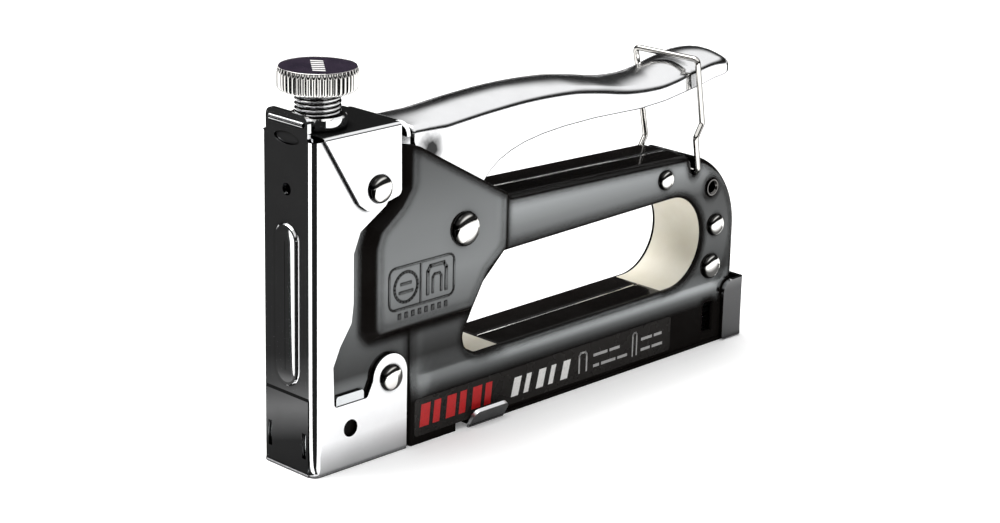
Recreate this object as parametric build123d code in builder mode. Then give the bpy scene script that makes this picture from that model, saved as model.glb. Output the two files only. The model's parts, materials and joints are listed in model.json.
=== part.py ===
from build123d import *
import math
import os

# Hand staple gun. X runs from the nose back to the end cap, Y across, Z up.
# Side outlines are given as (distance behind the nose's front face, height above the base).

# ---- driving dimensions, mm ----
LENGTH = 180.0            # rib on the nose to the end cap's rear face
RIB_T = 0.6               # how far the nose's rib stands in front of the nose
NOSE_X = RIB_T - LENGTH / 2

NOSE_HALF = 10.9          # half width outside the nose cover
COVER_T = 1.2             # nose cover and cap sheet
SHELL_T = 1.1             # shell sheet
RIM_Y = NOSE_HALF - COVER_T - 0.03
BODY_Y = 10.3             # half width over the bridge and the rear bow
LOWER_Y = NOSE_HALF       # half width over the magazine part of the shells
PANEL_Y = 12.9            # half width over the raised front panels
JOGGLE_X = 35.6           # where the shells step out behind the nose cover
PANEL_TAPER = 39.0        # slope of the raised panel's wall, degrees
SEAM = 0.15               # half the gap between the two shells' flanges
LOWER_REAR = 177.6        # the shells' magazine part runs on inside the end cap
LOWER_REAR_Z = 18.6
SHOULDER_LOW = 13.6
SHOULDER_HIGH = 20.2

CAP_TOP = 95.0
LIP_TOP = 100.6
FLAP_Y = NOSE_HALF + 0.03

BOW_X = 144.9             # centre of the hand hole's rear arc
BACK_X = 148.5            # centre of the rear bow's outer arc
BOW_Z = 36.6
BOW_R = 26.8
SHELL_REAR = BACK_X + BOW_R
HOLE_R = 14.5

PIVOT_X = 53.6
PIVOT_Z = 60.7
PIVOT_R = 2.5
RUNNING = 0.05            # radial clearance of pins and bores

LEVER_HALF = 9.7
LEVER_T = 1.3

SCREW_X = 10.9            # axis of knob, screw, spring and striker
SCREW_R = 6.3
SCREW_PITCH = 1.25
KNOB_R = 10.95
KNOB_LOW = 104.6
KNOB_HIGH = 111.2
KNURLS = 44
SEAT_TOP = 79.5
SEAT_LOW = 77.5

CARRIER_LOW = 40.0
CARRIER_HIGH = 55.5

BAIL_X = 154.4            # where the bail's bent-in ends turn
BAIL_Z = 58.2
BAIL_HALF = 11.8
BAIL_R = 0.9
BAIL_TOP = 93.7

SLIDE_FRONT = 59.5        # front end of the pull-out magazine's bottom plate
SLIDE_T = 1.2
RAIL_HALF = 4.6
ROD_Z = 7.5
ROD_R = 1.5
STRIP_REAR = 53.0
CAP_REAR = LENGTH - RIB_T

HANDLE_SIDE = [(155.0, 84.1), (140.0, 82.4), (128.7, 81.8), (109.3, 82.3), (87.2, 81.2), (72.8, 78.7)]

os.makedirs("parts", exist_ok=True)


def side(y=0.0):
    """Plane facing -Y at a distance y from the middle: local x runs back from the nose, local y up."""
    return Plane(origin=(NOSE_X, -y, 0), x_dir=(1, 0, 0), z_dir=(0, -1, 0))


def level(z):
    """Horizontal plane at height z, local x runs back from the nose."""
    return Plane(origin=(NOSE_X, 0, z), x_dir=(1, 0, 0), z_dir=(0, 0, 1))


def across(x):
    """Plane facing +X at a distance x behind the nose: local x is Y, local y is Z."""
    return Plane(origin=(NOSE_X + x, 0, 0), x_dir=(0, 1, 0), z_dir=(1, 0, 0))


def save(builder, name):
    """Label a finished piece and write it."""
    builder.part.label = name
    export_step(builder.part, f"parts/{name}.step")


def upright(x):
    """The vertical axis at a distance x behind the nose."""
    return Axis((NOSE_X + x, 0, 0), (0, 0, 1))


def cross_axis(x, z):
    """The axis across the gun at a distance x behind the nose and a height z."""
    return Axis((NOSE_X + x, 0, z), (0, 1, 0))


def headed_pin(x, z, half_width, shank_r, head_r, head_h):
    """A through rivet with a domed head on each side, lying across the gun."""
    dome_r = (head_r**2 + head_h**2) / (2 * head_h)
    half_angle = math.asin(head_r / dome_r) / 2
    dome_x = x + dome_r * math.sin(half_angle)
    dome_y = half_width + head_h - dome_r + dome_r * math.cos(half_angle)
    end = half_width + head_h
    with BuildPart() as pin:
        with BuildSketch(level(z)):
            with BuildLine():
                ThreePointArc((x, end), (dome_x, dome_y), (x + head_r, half_width))
                Polyline(
                    (x + head_r, half_width), (x + shank_r, half_width),
                    (x + shank_r, -half_width), (x + head_r, -half_width),
                )
                ThreePointArc((x + head_r, -half_width), (dome_x, -dome_y), (x, -end))
                Line((x, -end), (x, end))
            make_face()
        revolve(axis=cross_axis(x, z))
    return pin


# ---- shells ----
RIVETS = {
    "cap_rivet": (22.3, 77.9, FLAP_Y + COVER_T, 1.9, 4.0, 2.0),
    "ear_rivet": (28.0, 22.6, NOSE_HALF, 1.7, 3.8, 1.8),
    "pivot_pin": (PIVOT_X, PIVOT_Z, PANEL_Y, PIVOT_R, 5.0, 2.5),
}
REAR_RIVETS = [
    (141.3, 57.7, BODY_Y, 1.6, 3.1, 1.5),
    (165.7, 38.8, BODY_Y, 1.8, 3.5, 1.7),
    (164.2, 25.6, BODY_Y, 2.0, 4.0, 1.9),
]
HOLLOW_PIN = (163.1, 51.4, BODY_Y, 2.6)
REAR_SLOT = (163.2, 9.2, 4.8, 9.6)     # the upright slot in front of the end cap: centre and size

SHELL_TOP = [(34.4, 88.0), (36.8, 87.0), (62.5, 72.4), (70.3, 67.9), (75.0, 65.8), (BACK_X, BOW_Z + BOW_R)]
HOLE_LOW = 21.6
HOLE_FRONT = [(61.5, HOLE_LOW), (57.0, 24.0), (56.0, 28.0), (63.2, 41.5), (72.3, 49.7)]
PANEL_END = 73.0
PANEL_FOOT = [
    (30.9, 96.0), (30.9, 77.5), (28.2, 73.8), (20.3, 67.8), (18.0, 62.0), (18.0, 37.0), (20.7, 34.2),
    (58.6, 34.2), (64.8, 44.6), (PANEL_END, 51.0), (PANEL_END, 80.0), (50.0, 96.0),
]


def silhouette():
    """The shells' side view, without its hand hole."""
    Polygon((4, 0), (4, 88), *SHELL_TOP, (BACK_X, 0), align=None)
    with Locations((BACK_X, BOW_Z)):
        Circle(BOW_R)
    Polygon((BACK_X, 0), (BACK_X, BOW_Z), (SHELL_REAR, BOW_Z), (SHELL_REAR, 0), align=None)
    Polygon((BACK_X, 0), (BACK_X, LOWER_REAR_Z), (LOWER_REAR, LOWER_REAR_Z), (LOWER_REAR, 0), align=None)


with BuildSketch(side()) as hole_sketch:
    Polygon(*HOLE_FRONT, (BOW_X, BOW_Z + HOLE_R), (BOW_X, BOW_Z - HOLE_R), align=None)
    fillet(hole_sketch.vertices().sort_by(Axis.X)[:3], 3.5)
    with Locations((BOW_X, BOW_Z)):
        Circle(HOLE_R)

with BuildSketch(side()) as liner_gaps:
    # where the shells have no flange and a filler shows in the hand hole
    with Locations((BOW_X + 15, BOW_Z)):
        Rectangle(36, 60)
    with Locations((58, 24)):
        Rectangle(26, 14)

with BuildSketch(side()) as flange:
    # the shells' flange round the hand hole, left standing inside
    add(hole_sketch.sketch_local)
    offset(amount=SHELL_T, kind=Kind.ARC)
    add(liner_gaps.sketch_local, mode=Mode.SUBTRACT)

PANEL_BEND = 0.7
OUTER_BEND = 1.9
HOLE_BEND = 0.6
SEAM_BREAK = 0.3


def lies_at(edge, y):
    """Whether an edge lies flat at a distance y to the right of the middle."""
    return all(abs(edge.position_at(part).Y + y) < 0.001 for part in (0, 0.5, 1))


def on_back(edge):
    """Whether an edge of the side face runs along the top of the bridge or round the rear bow."""
    centre = edge.center()
    return centre.X > NOSE_X + PANEL_END and (centre.Z > 60 or centre.X > NOSE_X + SHELL_REAR - 9)


def round_hole(edge):
    """Whether an edge of the side face runs round the hand hole."""
    centre = edge.center()
    return SHOULDER_HIGH + 1 < centre.Z < 52 and centre.X < NOSE_X + SHELL_REAR - 9 and edge.length > 0.5


def on_seam(edge):
    """Whether an edge runs along the outside of the seam, on the bridge or on the hand hole's lower side."""
    centre = edge.center()
    below_hole = abs(centre.Z - HOLE_LOW) < 1 and edge.length > 40
    on_bridge = centre.Z > 63 and centre.X > NOSE_X + PANEL_END and edge.length > 40
    return lies_at(edge, SEAM) and (below_hole or on_bridge)


with BuildPart() as right_shell:
    with BuildSketch(side()):
        silhouette()
    extrude(amount=RIM_Y)
    with BuildSketch(side()):
        silhouette()
        with Locations((JOGGLE_X / 2, 50)):
            Rectangle(JOGGLE_X, 120, mode=Mode.SUBTRACT)
    extrude(amount=BODY_Y)
    with BuildSketch(side(RIM_Y)) as panel_foot:
        Polygon(*PANEL_FOOT, align=None)
        fillet(panel_foot.vertices().group_by(Axis.X)[0], 3.0)
    extrude(amount=PANEL_Y - RIM_Y, taper=PANEL_TAPER)
    with BuildSketch(across(JOGGLE_X)):
        Polygon(
            (-SEAM, 0), (-LOWER_Y, 0), (-LOWER_Y, SHOULDER_LOW), (-BODY_Y, SHOULDER_HIGH),
            (-SEAM, SHOULDER_HIGH),
            align=None,
        )
    extrude(amount=LOWER_REAR - JOGGLE_X)
    with BuildSketch(side()):
        silhouette()
    extrude(amount=PANEL_Y + 1, mode=Mode.INTERSECT)
    with BuildSketch(side(-1)):
        add(hole_sketch.sketch_local)
    extrude(amount=PANEL_Y + 3, mode=Mode.SUBTRACT)
    # rounded bends: round the raised panel, the bridge and bow, and the hand hole
    fillet(right_shell.edges().filter_by(lambda edge: lies_at(edge, PANEL_Y)), PANEL_BEND)
    outline = right_shell.edges().filter_by(lambda edge: lies_at(edge, BODY_Y) and not edge.is_interior)
    fillet(outline.filter_by(on_back), OUTER_BEND)
    outline = right_shell.edges().filter_by(lambda edge: lies_at(edge, BODY_Y) and not edge.is_interior)
    fillet(outline.filter_by(round_hole), HOLE_BEND)
    # the inside, open at the front, along the lever's opening, below and at the magazine's rear end
    with BuildSketch(side(-1)) as inside:
        Polygon(
            (-5, -5), (-5, 100), (72.4, 100), (72.4, 65.9 - SHELL_T), (BACK_X, BOW_Z + BOW_R - SHELL_T),
            (BACK_X, -5),
            align=None,
        )
        with Locations((BACK_X, BOW_Z)):
            Circle(BOW_R - SHELL_T)
        with Locations((165, 7)):
            Rectangle(50, 24)
        add(flange.sketch_local, mode=Mode.SUBTRACT)
    extrude(amount=RIM_Y - SHELL_T + 1, mode=Mode.SUBTRACT)
    with BuildSketch(side(RIM_Y - SHELL_T - 0.1)):
        add(inside.sketch_local)
        with Locations(((JOGGLE_X + SHELL_T) / 2, 50)):
            Rectangle(JOGGLE_X + SHELL_T, 120, mode=Mode.SUBTRACT)
    extrude(amount=BODY_Y - RIM_Y + 0.1, mode=Mode.SUBTRACT)
    with BuildSketch(side(RIM_Y - SHELL_T)):
        Polygon(*PANEL_FOOT, align=None)
        offset(amount=-SHELL_T, kind=Kind.INTERSECTION)
        Polygon((32.0, 80.0), (32.0, 110.0), (71.9, 110.0), (71.9, 66.0), (50, 66), align=None)
        add(flange.sketch_local, mode=Mode.SUBTRACT)
    extrude(amount=PANEL_Y - RIM_Y, taper=PANEL_TAPER, mode=Mode.SUBTRACT)
    with BuildSketch(across(JOGGLE_X + SHELL_T)):
        inner_y = LOWER_Y - SHELL_T
        Polygon(
            (0, -5), (-inner_y, -5), (-inner_y, SHOULDER_LOW - 0.3), (-inner_y + 0.6, 19.4), (0, 19.4),
            align=None,
        )
    extrude(amount=LOWER_REAR - JOGGLE_X, mode=Mode.SUBTRACT)
    # room for the other half, the pull-out magazine, its latch notch and the bail's slot
    with BuildSketch(side(-1)):
        with Locations((90, 50)):
            Rectangle(220, 120)
    extrude(amount=1 + SEAM, mode=Mode.SUBTRACT)
    with BuildSketch(side(-1)):
        with Locations(((SLIDE_FRONT + 200) / 2, 0)):
            Rectangle(200 - SLIDE_FRONT, 2 * (SLIDE_T + 0.2))
        with Locations((56.4, 0)):
            Rectangle(6.4, 12)
    extrude(amount=PANEL_Y + 3, mode=Mode.SUBTRACT)
    with BuildSketch(side(5)):
        with Locations((BAIL_X, BAIL_Z)):
            Circle(BAIL_R + 0.5)
        Polygon(
            (BAIL_X - 1.4, BAIL_Z), (BAIL_X + 1.4, BAIL_Z), (BAIL_X + 1.0, 70), (BAIL_X - 4.6, 70),
            align=None,
        )
    extrude(amount=8, mode=Mode.SUBTRACT)
    with BuildSketch(side(LOWER_Y - 2 * SHELL_T)):
        with Locations(REAR_SLOT[:2]):
            Rectangle(*REAR_SLOT[2:])
    extrude(amount=3 * SHELL_T, mode=Mode.SUBTRACT)
    chamfer(right_shell.edges().filter_by(on_seam), SEAM_BREAK)
    with BuildSketch(side(-1)):
        for x, z, half, shank_r, head_r, head_h in [*RIVETS.values(), *REAR_RIVETS]:
            with Locations((x, z)):
                Circle(shank_r + RUNNING)
        with Locations(HOLLOW_PIN[:2]):
            Circle(HOLLOW_PIN[3] + RUNNING)
    extrude(amount=PANEL_Y + 3, mode=Mode.SUBTRACT)

with BuildPart() as left_shell:
    add(right_shell.part)
    mirror(about=Plane.XZ, mode=Mode.REPLACE)

save(right_shell, "right_shell")
save(left_shell, "left_shell")


# ---- rivets and pins of the housing ----
for name, (x, z, half, shank_r, head_r, head_h) in RIVETS.items():
    save(headed_pin(x, z, half, shank_r, head_r, head_h), name)

with BuildPart() as rear_rivets:
    for x, z, half, shank_r, head_r, head_h in REAR_RIVETS:
        add(headed_pin(x, z, half, shank_r, head_r, head_h).part)
save(rear_rivets, "rear_rivets")

with BuildPart() as hollow_pin:
    pin_x, pin_z, pin_half, pin_r = HOLLOW_PIN
    with BuildSketch(side()):
        with Locations((pin_x, pin_z)):
            Circle(pin_r)
    extrude(amount=pin_half + 0.5, both=True)
    with BuildSketch(side()):
        with Locations((pin_x, pin_z)):
            Circle(pin_r - 0.9)
    extrude(amount=pin_half + 1, both=True, mode=Mode.SUBTRACT)
    chamfer(hollow_pin.edges().filter_by(GeomType.CIRCLE).group_by(Axis.Y)[0].sort_by(SortBy.RADIUS)[0], 0.5)
    chamfer(hollow_pin.edges().filter_by(GeomType.CIRCLE).group_by(Axis.Y)[-1].sort_by(SortBy.RADIUS)[0], 0.5)
save(hollow_pin, "hollow_pin")

# ---- chrome nose cover: one sheet folded round the nose ----
CHEEK_REAR = 34.0
EAR_X, EAR_Z, EAR_R = 27.7, 23.2, 6.3
CUTOUT = [
    (7.2, 18.8), (6.8, 30.6), (9.2, 35.8), (13.3, 41.7), (14.0, 47.0), (14.0, 61.0), (16.4, 66.8),
    (25.5, 72.3), (30.2, 78.0), (40.0, 78.0), (40.0, EAR_Z), (EAR_X - EAR_R, EAR_Z), (19.2, 18.8),
]
COVER_TOP = CAP_TOP - COVER_T - 0.03
CORNER_R = 2.2
RIB_LOW, RIB_HIGH, RIB_HALF = 24.4, 70.0, 4.6
RIB_TAPER = 30            # slope of the rib's sides, degrees
TOE_HIGH = 22.6           # below this the nose is coined a little thicker
TOE_STEP = 0.3
LIP_HALF = 8.4


def front(x=0.0):
    """Plane facing forward at a distance x behind the nose's front face: local x is -Y, local y is Z."""
    return Plane(origin=(NOSE_X + x, 0, 0), x_dir=(0, -1, 0), z_dir=(-1, 0, 0))


with BuildPart() as nose_cover:
    with BuildSketch(level(0)) as fold:
        Rectangle(CHEEK_REAR, 2 * NOSE_HALF, align=(Align.MIN, Align.CENTER))
        fillet(fold.vertices().group_by(Axis.X)[0], CORNER_R)
    extrude(amount=COVER_TOP)
    with BuildSketch(level(-1)):
        with Locations((COVER_T, 0)):
            Rectangle(CHEEK_REAR, 2 * (NOSE_HALF - COVER_T), align=(Align.MIN, Align.CENTER))
    extrude(amount=COVER_TOP + 2, mode=Mode.SUBTRACT)
    with BuildSketch(side(-20)) as cutout:
        Polygon(*CUTOUT, align=None)
        fillet(cutout.vertices().sort_by(Axis.X)[:8], 1.2)
        with Locations((EAR_X, EAR_Z)):
            Circle(EAR_R, mode=Mode.SUBTRACT)
        with Locations((35.3, 90.0)):
            Rectangle(10.0, 30.0)
    extrude(amount=40, mode=Mode.SUBTRACT)
    with BuildSketch(side(-20)):
        with Locations((13.1, 11.6)):
            Circle(2.5)
        for x, z, half, shank_r, head_r, head_h in [RIVETS["cap_rivet"], RIVETS["ear_rivet"]]:
            with Locations((x, z)):
                Circle(shank_r + RUNNING)
    extrude(amount=40, mode=Mode.SUBTRACT)
    # the lip that stands up in front of the cap, with its bead
    with BuildSketch(front(COVER_T)) as lip:
        with Locations((0, COVER_TOP - 1)):
            Rectangle(2 * LIP_HALF, LIP_TOP - COVER_TOP + 1, align=(Align.CENTER, Align.MIN))
        fillet(lip.vertices().group_by(Axis.Y)[-1], 2.4)
    extrude(amount=COVER_T)
    with BuildSketch(side(-LIP_HALF + 1.6)):
        with Locations((0.25, 98.0)):
            Circle(0.8)
    extrude(amount=2 * LIP_HALF - 3.2)
    # coined toe, rib, dimple, peep hole and slots
    with BuildSketch(side(-NOSE_HALF + CORNER_R)):
        Polygon(
            (0.2, 0), (-TOE_STEP, 0), (-TOE_STEP, TOE_HIGH - 0.8), (0, TOE_HIGH), (0.2, TOE_HIGH),
            align=None,
        )
    extrude(amount=2 * (NOSE_HALF - CORNER_R))
    with BuildSketch(front()):
        with Locations((0, (RIB_LOW + RIB_HIGH) / 2)):
            SlotOverall(RIB_HIGH - RIB_LOW, 2 * RIB_HALF, rotation=90)
    extrude(amount=RIB_T, taper=RIB_TAPER)
    with BuildSketch(front(COVER_T)):
        with Locations((0, (RIB_LOW + RIB_HIGH) / 2)):
            SlotOverall(RIB_HIGH - RIB_LOW - 3.2, 2 * RIB_HALF - 3.2, rotation=90)
    extrude(amount=0.8, mode=Mode.SUBTRACT)
    with BuildSketch(front(0.5)):
        with Locations((0, 93.4)):
            Ellipse(5.0, 1.7)
    extrude(amount=2, mode=Mode.SUBTRACT)
    with BuildSketch(front(COVER_T + 1)):
        with Locations((0, 79.4)):
            Circle(1.7)
        with Locations((-7.0, 8.7), (7.0, 8.7)):
            Rectangle(1.5, 7.3)
    extrude(amount=5, mode=Mode.SUBTRACT)
save(nose_cover, "nose_cover")

# ---- cap over the nose: top plate, two flaps, curled rear lip ----
FLAP = [(2.6, CAP_TOP), (29.9, CAP_TOP), (30.2, 75.0), (18.3, 72.3), (15.2, 74.6)]
CURL_R = 5.4              # the cap's rear edge is curled down
CURL_X = 30.2
CURL_HALF = 9.6
BUSH_R = 7.8

with BuildPart() as top_cap:
    with BuildSketch(side(-FLAP_Y - COVER_T)) as flap:
        Polygon(*FLAP, align=None)
        fillet(flap.vertices().sort_by(Axis.Y)[:3], 1.8)
    extrude(amount=2 * (FLAP_Y + COVER_T))
    with BuildSketch(side(-FLAP_Y)):
        with Locations((17, 50)):
            Rectangle(60, 2 * (CAP_TOP - COVER_T - 50))
    extrude(amount=2 * FLAP_Y, mode=Mode.SUBTRACT)
    fillet(top_cap.edges().filter_by(Axis.X).group_by(Axis.Z)[-1], 0.9)
    with BuildSketch(side(-CURL_HALF)):
        with BuildLine():
            CenterArc((CURL_X, CAP_TOP - CURL_R), CURL_R, 0, 90)
            CenterArc((CURL_X, CAP_TOP - CURL_R), CURL_R - COVER_T, 0, 90)
            Line((CURL_X + CURL_R, CAP_TOP - CURL_R), (CURL_X + CURL_R - COVER_T, CAP_TOP - CURL_R))
            Line((CURL_X, CAP_TOP), (CURL_X, CAP_TOP - COVER_T))
        make_face()
        Polygon(
            (28.0, CAP_TOP), (CURL_X, CAP_TOP), (CURL_X, CAP_TOP - COVER_T), (28.0, CAP_TOP - COVER_T),
            align=None,
        )
    extrude(amount=2 * CURL_HALF)
    with BuildSketch(level(60)):
        with Locations((SCREW_X, 0)):
            Circle(BUSH_R - 1.0)
    extrude(amount=60, mode=Mode.SUBTRACT)
    with BuildSketch(side(-20)):
        with Locations(RIVETS["cap_rivet"][:2]):
            Circle(RIVETS["cap_rivet"][3] + RUNNING)
    extrude(amount=40, mode=Mode.SUBTRACT)
save(top_cap, "top_cap")

with BuildPart() as screw_bush:
    with BuildSketch(side()):
        bore = SCREW_X + SCREW_R + RUNNING
        plate_hole = SCREW_X + BUSH_R - 1.0 - RUNNING
        Polygon(
            (bore, 90.5), (bore, 98.4), (SCREW_X + BUSH_R - 0.5, 98.4), (SCREW_X + BUSH_R, 97.9),
            (SCREW_X + BUSH_R, CAP_TOP), (plate_hole, CAP_TOP), (plate_hole, CAP_TOP - COVER_T),
            (SCREW_X + 7.6, CAP_TOP - COVER_T), (SCREW_X + 7.6, 90.5),
            align=None,
        )
    revolve(axis=upright(SCREW_X))
save(screw_bush, "screw_bush")

# ---- power adjustment: knob, disc, screw and the seat that it presses on the spring ----
DISC_R = 10.3
KNURL_DEPTH = 0.55
DISC_GAP = 0.02
DISC_DEPTH = 0.8

with BuildPart() as knob:
    with BuildSketch(side()):
        Polygon(
            (SCREW_X, KNOB_LOW), (SCREW_X + KNOB_R - 0.7, KNOB_LOW), (SCREW_X + KNOB_R, KNOB_LOW + 0.7),
            (SCREW_X + KNOB_R, KNOB_HIGH - 0.5), (SCREW_X + KNOB_R - 0.5, KNOB_HIGH),
            (SCREW_X + DISC_R + DISC_GAP, KNOB_HIGH), (SCREW_X + DISC_R + DISC_GAP, KNOB_HIGH - DISC_DEPTH),
            (SCREW_X, KNOB_HIGH - DISC_DEPTH),
            align=None,
        )
    revolve(axis=upright(SCREW_X))
    with BuildSketch(level(KNOB_LOW - 1)):
        with Locations((SCREW_X, 0)):
            with PolarLocations(KNOB_R, KNURLS):
                RegularPolygon(KNURL_DEPTH, 4)
    extrude(amount=KNOB_HIGH - KNOB_LOW + 0.4, mode=Mode.SUBTRACT)
save(knob, "knob")

with BuildPart() as knob_disc:
    with BuildSketch(level(KNOB_HIGH - DISC_DEPTH)):
        with Locations((SCREW_X, 0)):
            Circle(DISC_R)
    extrude(amount=DISC_DEPTH - 0.1)
save(knob_disc, "knob_disc")

with BuildPart() as adjusting_screw:
    with BuildSketch(side()):
        core = SCREW_X + SCREW_R - 0.6
        crest = SCREW_X + SCREW_R
        turns = int((KNOB_LOW - SEAT_TOP - 1.0) / SCREW_PITCH)
        teeth = []
        for turn in range(turns):
            base = SEAT_TOP + 0.5 + turn * SCREW_PITCH
            teeth += [(core, base), (crest, base + SCREW_PITCH * 0.4), (crest, base + SCREW_PITCH * 0.6)]
        Polygon(
            (SCREW_X, SEAT_TOP), (core, SEAT_TOP), *teeth, (core, KNOB_LOW), (SCREW_X, KNOB_LOW),
            align=None,
        )
    revolve(axis=upright(SCREW_X))
save(adjusting_screw, "adjusting_screw")

with BuildPart() as spring_seat:
    with BuildSketch(side()):
        Polygon(
            (SCREW_X, SEAT_TOP), (SCREW_X + 6.9, SEAT_TOP), (SCREW_X + 6.9, SEAT_LOW),
            (SCREW_X + 3.4, SEAT_LOW),
            (SCREW_X + 3.0, SEAT_LOW - 3.5), (SCREW_X, SEAT_LOW - 3.5),
            align=None,
        )
    revolve(axis=upright(SCREW_X))
save(spring_seat, "spring_seat")

# ---- striker: blade, carrier and mainspring ----
BLADE_FRONT = COVER_T + 0.2
BLADE_T = 0.8
CARRIER_FRONT = BLADE_FRONT + BLADE_T
CARRIER_POST = 5.0        # the post that centres the mainspring
ARM_SLOT_HALF = 2.5
SPRING_WIRE_R = 0.9
SPRING_MEAN_R = 5.2
SPRING_TURNS = 5
SPRING_GAP = 0.3

with BuildPart() as striker_blade:
    with BuildSketch(front(BLADE_FRONT + BLADE_T)):
        with Locations((0, 17.0)):
            Rectangle(11.2, 36.5, align=(Align.CENTER, Align.MIN))
    extrude(amount=BLADE_T)
save(striker_blade, "striker_blade")

with BuildPart() as striker_carrier:
    with BuildSketch(level(CARRIER_LOW)):
        with Locations((CARRIER_FRONT, 0)):
            Rectangle(18.0 - CARRIER_FRONT, 14.4, align=(Align.MIN, Align.CENTER))
    extrude(amount=CARRIER_HIGH - CARRIER_LOW)
    fillet(striker_carrier.edges().filter_by(Axis.Z).group_by(Axis.X)[-1], 2.0)
    with BuildSketch(level(CARRIER_HIGH)):
        with Locations((SCREW_X, 0)):
            Circle(3.2)
    extrude(amount=CARRIER_POST)
    with BuildSketch(side(-ARM_SLOT_HALF)):
        with Locations((10.0, 42.8)):
            Rectangle(11, 6.6, align=Align.MIN)
    extrude(amount=2 * ARM_SLOT_HALF, mode=Mode.SUBTRACT)
save(striker_carrier, "striker_carrier")


def coil(start, direction, length, turns, mean_r, wire_r):
    """A round-wire coil spring along direction, its wire's centre line starting at start."""
    with BuildPart() as spring:
        with BuildLine():
            path = Helix(pitch=length / turns, height=length, radius=mean_r, center=start, direction=direction)
        with BuildSketch(Plane(origin=path @ 0, z_dir=path % 0)):
            Circle(wire_r)
        sweep(path=path, is_frenet=True)
    return spring


mainspring = coil(
    (NOSE_X + SCREW_X, 0, CARRIER_HIGH + SPRING_WIRE_R + SPRING_GAP), (0, 0, 1),
    SEAT_LOW - CARRIER_HIGH - 2 * (SPRING_WIRE_R + SPRING_GAP), SPRING_TURNS, SPRING_MEAN_R, SPRING_WIRE_R,
)
save(mainspring, "mainspring")

with BuildPart() as striker_bumper:
    with BuildSketch(level(24.6)):
        with Locations((3.6, 0)):
            Rectangle(15.4, 15.0, align=(Align.MIN, Align.CENTER))
    extrude(amount=6.0)
    fillet(striker_bumper.edges().filter_by(Axis.Z), 1.5)
save(striker_bumper, "striker_bumper")

with BuildPart() as nose_guide:
    with BuildSketch(front(3.4)):
        with Locations((0, 0.3)):
            Rectangle(16.6, 22.6, align=(Align.CENTER, Align.MIN))
    extrude(amount=1.0)
save(nose_guide, "nose_guide")

with BuildPart() as notch_lugs:
    with BuildSketch(side(RIM_Y)) as lug:
        with Locations((8.2, 19.0)):
            Rectangle(10.0, 2.6, align=Align.MIN)
        fillet(lug.vertices().group_by(Axis.Y)[-1], 0.9)
    extrude(amount=0.9)
    mirror(about=Plane.XZ)
save(notch_lugs, "notch_lugs")

# ---- lever: a channel open below, round-ended, with two cheeks that reach down to the pivot ----
LEVER_TOP = [
    (36.6, 91.6), (44, 92.2), (55, 93.0), (66, 93.8), (82, 94.5), (99, 93.9), (110, 92.4), (124, 90.0),
    (137, 89.3), (149, 90.2), (157, 91.1), (163, 91.2), (168, 89.5), (173.3, 86.6),
]
LEVER_BELOW = [(173.3, 84.9), (165.2, 85.4), *HANDLE_SIDE, (66.5, 74.5), (62.0, 69.5)]
SPOON_X = 163.6


ARM_PIN = (46.5, 70.0, 2.0)
LEVER_CHEEK = [
    (PIVOT_X + 7.5, PIVOT_Z), (PIVOT_X + 5.0, PIVOT_Z - 5.6), (PIVOT_X, PIVOT_Z - 7.5),
    (PIVOT_X - 5.3, PIVOT_Z - 5.3), (PIVOT_X - 7.5, PIVOT_Z), (37.6, 81.0),
]

with BuildPart() as lever_inside:
    with BuildSketch(side(-LEVER_HALF + LEVER_T)):
        with BuildLine():
            under_top = Spline(*[(x, z - LEVER_T) for x, z in LEVER_TOP])
            Polyline(under_top @ 1, (173.3, 40.0), (30.0, 40.0), (30.0, 91.6 - LEVER_T), under_top @ 0)
        make_face()
    extrude(amount=2 * (LEVER_HALF - LEVER_T))
    with BuildSketch(level(0)):
        Rectangle(SPOON_X, 2 * LEVER_HALF, align=(Align.MIN, Align.CENTER))
        with Locations((SPOON_X, 0)):
            Circle(LEVER_HALF - LEVER_T)
    extrude(amount=120, mode=Mode.INTERSECT)

with BuildPart() as lever:
    with BuildSketch(side(-LEVER_HALF)):
        with BuildLine():
            top = Spline(*LEVER_TOP)
            Polyline(top @ 1, *LEVER_BELOW, *LEVER_CHEEK, top @ 0)
        make_face()
    extrude(amount=2 * LEVER_HALF)
    with BuildSketch(level(0)):
        Rectangle(SPOON_X, 2 * LEVER_HALF, align=(Align.MIN, Align.CENTER))
        with Locations((SPOON_X, 0)):
            Circle(LEVER_HALF)
    extrude(amount=120, mode=Mode.INTERSECT)
    long_edges = lever.edges().filter_by(lambda edge: edge.length > 25)
    fillet(long_edges.filter_by(lambda edge: edge.center().Z > 87), 2.0)
    add(lever_inside.part, mode=Mode.SUBTRACT)
    with BuildSketch(side(-20)):
        with Locations((PIVOT_X, PIVOT_Z)):
            Circle(PIVOT_R + RUNNING)
        with Locations(ARM_PIN[:2]):
            Circle(ARM_PIN[2] + RUNNING)
    extrude(amount=40, mode=Mode.SUBTRACT)
save(lever, "lever")

ARM_HALF = 2.0

with BuildPart() as lift_arm:
    with BuildSketch(side(-ARM_HALF)):
        Polygon(
            (13.4, 44.4), (22.0, 44.4), (48.0, 54.6), (59.4, 58.0), (59.5, 64.0), (50.5, 74.0), (43.0, 73.5),
            (36.0, 62.5), (22.0, 50.0), (13.4, 47.6),
            align=None,
        )
        with Locations((PIVOT_X, PIVOT_Z)):
            Circle(6.5)
    extrude(amount=2 * ARM_HALF)
    with BuildSketch(side(-ARM_HALF - 1)):
        with Locations((PIVOT_X, PIVOT_Z)):
            Circle(PIVOT_R + RUNNING)
        with Locations(ARM_PIN[:2]):
            Circle(ARM_PIN[2] + RUNNING)
    extrude(amount=2 * ARM_HALF + 2, mode=Mode.SUBTRACT)
save(lift_arm, "lift_arm")

with BuildPart() as arm_pin:
    with BuildSketch(side(-LEVER_HALF - 0.8)):
        with Locations(ARM_PIN[:2]):
            Circle(ARM_PIN[2])
    extrude(amount=2 * LEVER_HALF + 1.6)
save(arm_pin, "arm_pin")

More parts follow.
